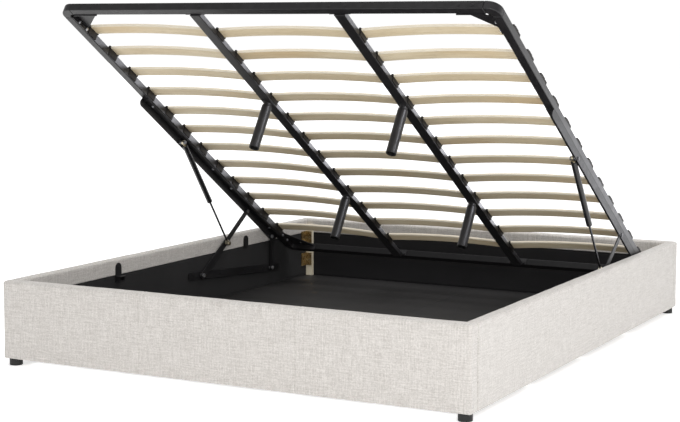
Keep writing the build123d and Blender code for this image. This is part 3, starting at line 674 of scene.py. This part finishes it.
def slat_section():
    """closed outline of the cross-section, (across, up from the underside)"""
    w, t, r = SLAT_W / 2, SLAT_T, 0.0042
    pts = []
    for cx, cz, a0 in ((w - r, t - r, 0), (-w + r, t - r, 90), (-w + r, r, 180), (w - r, r, 270)):
        for i in range(6):
            a = radians(a0 + 18 * i)
            pts.append((cx + r * cos(a), cz + r * sin(a)))
    return pts


def slats(node, x0, x1, za, zb, salt):
    sec = slat_section()
    ns = len(sec)
    half = (x1 - x0) / 2
    R = (half * half + SLAT_BOW * SLAT_BOW) / (2 * SLAT_BOW)
    xm = (x0 + x1) / 2
    nx = 30
    co, faces, wood, seed = [], [], [], []
    for k, u in enumerate(US):
        rnd = random.Random(salt * 100 + k)
        sd = rnd.uniform(0, 40)
        base = len(co)
        for i in range(nx + 1):
            x = x0 + (x1 - x0) * i / nx
            bow = za + (zb - za) * i / nx + sqrt(R * R - (x - xm) ** 2) - (R - SLAT_BOW)
            for a, b in sec:
                if i in (0, nx):       # eased end
                    a *= 0.985
                    b = SLAT_T / 2 + (b - SLAT_T / 2) * 0.86
                co.append(place(x, -u + a, bow + b))
                wood.append((x + half, a, b))
                seed.append(sd)
        for i in range(nx):
            for j in range(ns):
                j2 = (j + 1) % ns
                faces.append([base + i * ns + j, base + i * ns + j2, base + (i + 1) * ns + j2, base + (i + 1) * ns + j])
        faces.append([base + j for j in range(ns)][::-1])
        faces.append([base + nx * ns + j for j in range(ns)])
    o = mesh_object(node.replace("slats", "slat_row"), co, faces, M["beech_ply"])
    w = o.data.attributes.new("wood", "FLOAT_VECTOR", "POINT")
    w.data.foreach_set("vector", np.array(wood, np.float32).ravel())
    s = o.data.attributes.new("seed", "FLOAT", "POINT")
    s.data.foreach_set("value", np.array(seed, np.float32))
    bm = bmesh.new()
    bm.from_mesh(o.data)
    bmesh.ops.recalc_face_normals(bm, faces=bm.faces)
    bm.to_mesh(o.data)
    bm.free()
    o.data.set_sharp_from_angle(angle=radians(40))
    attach(o, "slat_frame")
    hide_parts(node)
    return o


for i, (node, (a, b, za, zb)) in enumerate(COLS.items()):
    slats(node, a, b, za, zb, i + 1)

# ---------------------------------------------------------------------------
# floor, light, camera
# ---------------------------------------------------------------------------
fm = Mat("pale_floor")
fc = fm.noise(fm.obj(), 3.0, 3.0)
fm.set(Base_Color=fm.ramp(fc, [(0.3, (0.90, 0.90, 0.895)), (0.7, (0.93, 0.93, 0.925))]))
fm.bsdf.inputs["Roughness"].default_value = 0.9
fm.bsdf.inputs["Specular IOR Level"].default_value = 0.1
fm.bsdf.inputs["Emission Color"].default_value = (1, 1, 1, 1)
fr = fm.node("VectorMath", operation="LENGTH")
fm.put(fr.inputs[0], fm.obj())
fm.set(Emission_Strength=fm.span(fr.outputs["Value"], 2.5, 9.0, 0.50, 0.95))
fl = mesh_object("studio_floor", [(-40, -40, 0), (40, -40, 0), (40, 40, 0), (-40, 40, 0)], [(0, 1, 2, 3)], fm.m, False)

world = bpy.data.worlds.new("studio")
scene.world = world
world.use_nodes = True
# white cove all round, dimmer overhead
wt = world.node_tree
dirn = wt.nodes.new("ShaderNodeTexCoord").outputs["Generated"]
wsep = wt.nodes.new("ShaderNodeSeparateXYZ")
wt.links.new(dirn, wsep.inputs[0])
wlift = wt.nodes.new("ShaderNodeMapRange")
wlift.interpolation_type = "SMOOTHSTEP"
for i, v in zip((1, 2, 3, 4), (0.03, 0.50, 1.02, 0.42)):
    wlift.inputs[i].default_value = v
wt.links.new(wsep.outputs[2], wlift.inputs[0])
wt.nodes["Background"].inputs[0].default_value = (1.0, 1.0, 1.0, 1.0)
wt.links.new(wlift.outputs[0], wt.nodes["Background"].inputs[1])


def area(name, loc, target, size, power, color=(1, 1, 1)):
    d = bpy.data.lights.new(name, "AREA")
    d.shape = "RECTANGLE"
    d.size, d.size_y = size
    d.energy = power
    d.color = color
    o = bpy.data.objects.new(name, d)
    scene.collection.objects.link(o)
    o.location = loc
    o.rotation_euler = (Vector(target) - Vector(loc)).to_track_quat("-Z", "Y").to_euler()
    return o


key = area("key", (3.1, -4.3, 2.7), (0.4, -0.9, 0.2), (2.2, 2.2), 112)
area("side", (5.0, -1.0, 1.3), (-0.8, -0.1, 0.3), (1.6, 1.6), 20, (0.94, 0.96, 1.0))
area("top", (0.1, 0.5, 5.2), (0.1, -0.2, 0.2), (3.2, 3.2), 172)
# bright cards: only their reflection in the steel counts
def group(name, nodes):
    c = bpy.data.collections.new(name)
    for n in nodes:
        c.objects.link(NODE[n] if n in NODE else bpy.data.objects[n])
    return c


inner = group("inner_sides", ("side_tube_left", "middle_rail_left", "middle_rail_right"))
outer = group("outer_sides", ("side_tube_right", "frame_bracket_right", "frame_corner_bends", "slat_holders_outer",
                              "front_arm_right", "rear_arm_right", "gas_cylinder_right", "gas_cylinder_left"))
legs = group("leg_sides", ("support_legs", "leg_saddles", "leg_caps"))
rows = group("slat_rows", ("slat_row_left", "slat_row_centre", "slat_row_right"))
for name, loc, to, size, power, who in (
        ("card_far", (4.4, 7.2, 0.0), (0.2, 0.0, 0.4), (4.5, 1.6), 4, outer),
        ("card_low", (1.80, 3.5, 0.22), (0.82, 0.6, 0.35), (1.7, 0.7), 6.5, outer),
        ("card_near", (0.75, 2.1, 0.8), (-0.65, 0.0, 0.7), (1.4, 1.4), 36, inner),
        ("card_legs", (2.7, -0.1, 2.4), (-0.1, 0.0, 0.75), (1.0, 1.6), 70, legs)):
    card = area(name, loc, to, size, power, (0.92, 0.92, 1.0))
    card.light_linking.receiver_collection = who
    if who == legs:
        card.light_linking.blocker_collection = who
    card.visible_diffuse = False
    card.visible_camera = False
    card.visible_shadow = False
# the cross tubes turn their dark side to the front
shade = group("key_off", ("head_tube", "foot_tube"))
for m in shade.collection_objects:
    m.light_linking.link_state = "EXCLUDE"
key.light_linking.receiver_collection = shade
# the pale floor's bounce reaches the undersides of the low slats
fill = area("slat_bounce", (0.0, 0.50, 0.06), (0.0, 0.62, 0.5), (1.5, 0.4), 1.0, (1.0, 0.99, 0.97))
fill.light_linking.receiver_collection = rows
fill.visible_camera = False
fill.visible_glossy = False

cam = bpy.data.cameras.new("camera")
cam.sensor_fit = "HORIZONTAL"
cam.sensor_width = 36.0
cam.lens = 84.44
cam.clip_start, cam.clip_end = 0.05, 200.0
co = bpy.data.objects.new("camera", cam)
scene.collection.objects.link(co)
YAW, PITCH, ROLL = 0.486223, 0.112710, 0.0022078
d = Vector((-sin(YAW) * cos(PITCH), cos(YAW) * cos(PITCH), -sin(PITCH)))
r0 = Vector((cos(YAW), sin(YAW), 0.0))
u0 = r0.cross(d)
rr = cos(ROLL) * r0 + sin(ROLL) * u0
uu = -sin(ROLL) * r0 + cos(ROLL) * u0
m = Matrix((rr, uu, -d)).transposed().to_4x4()
m.translation = Vector((2.63609, -5.22495, 1.13187))
co.matrix_world = m
scene.camera = co

bpy.context.view_layer.update()
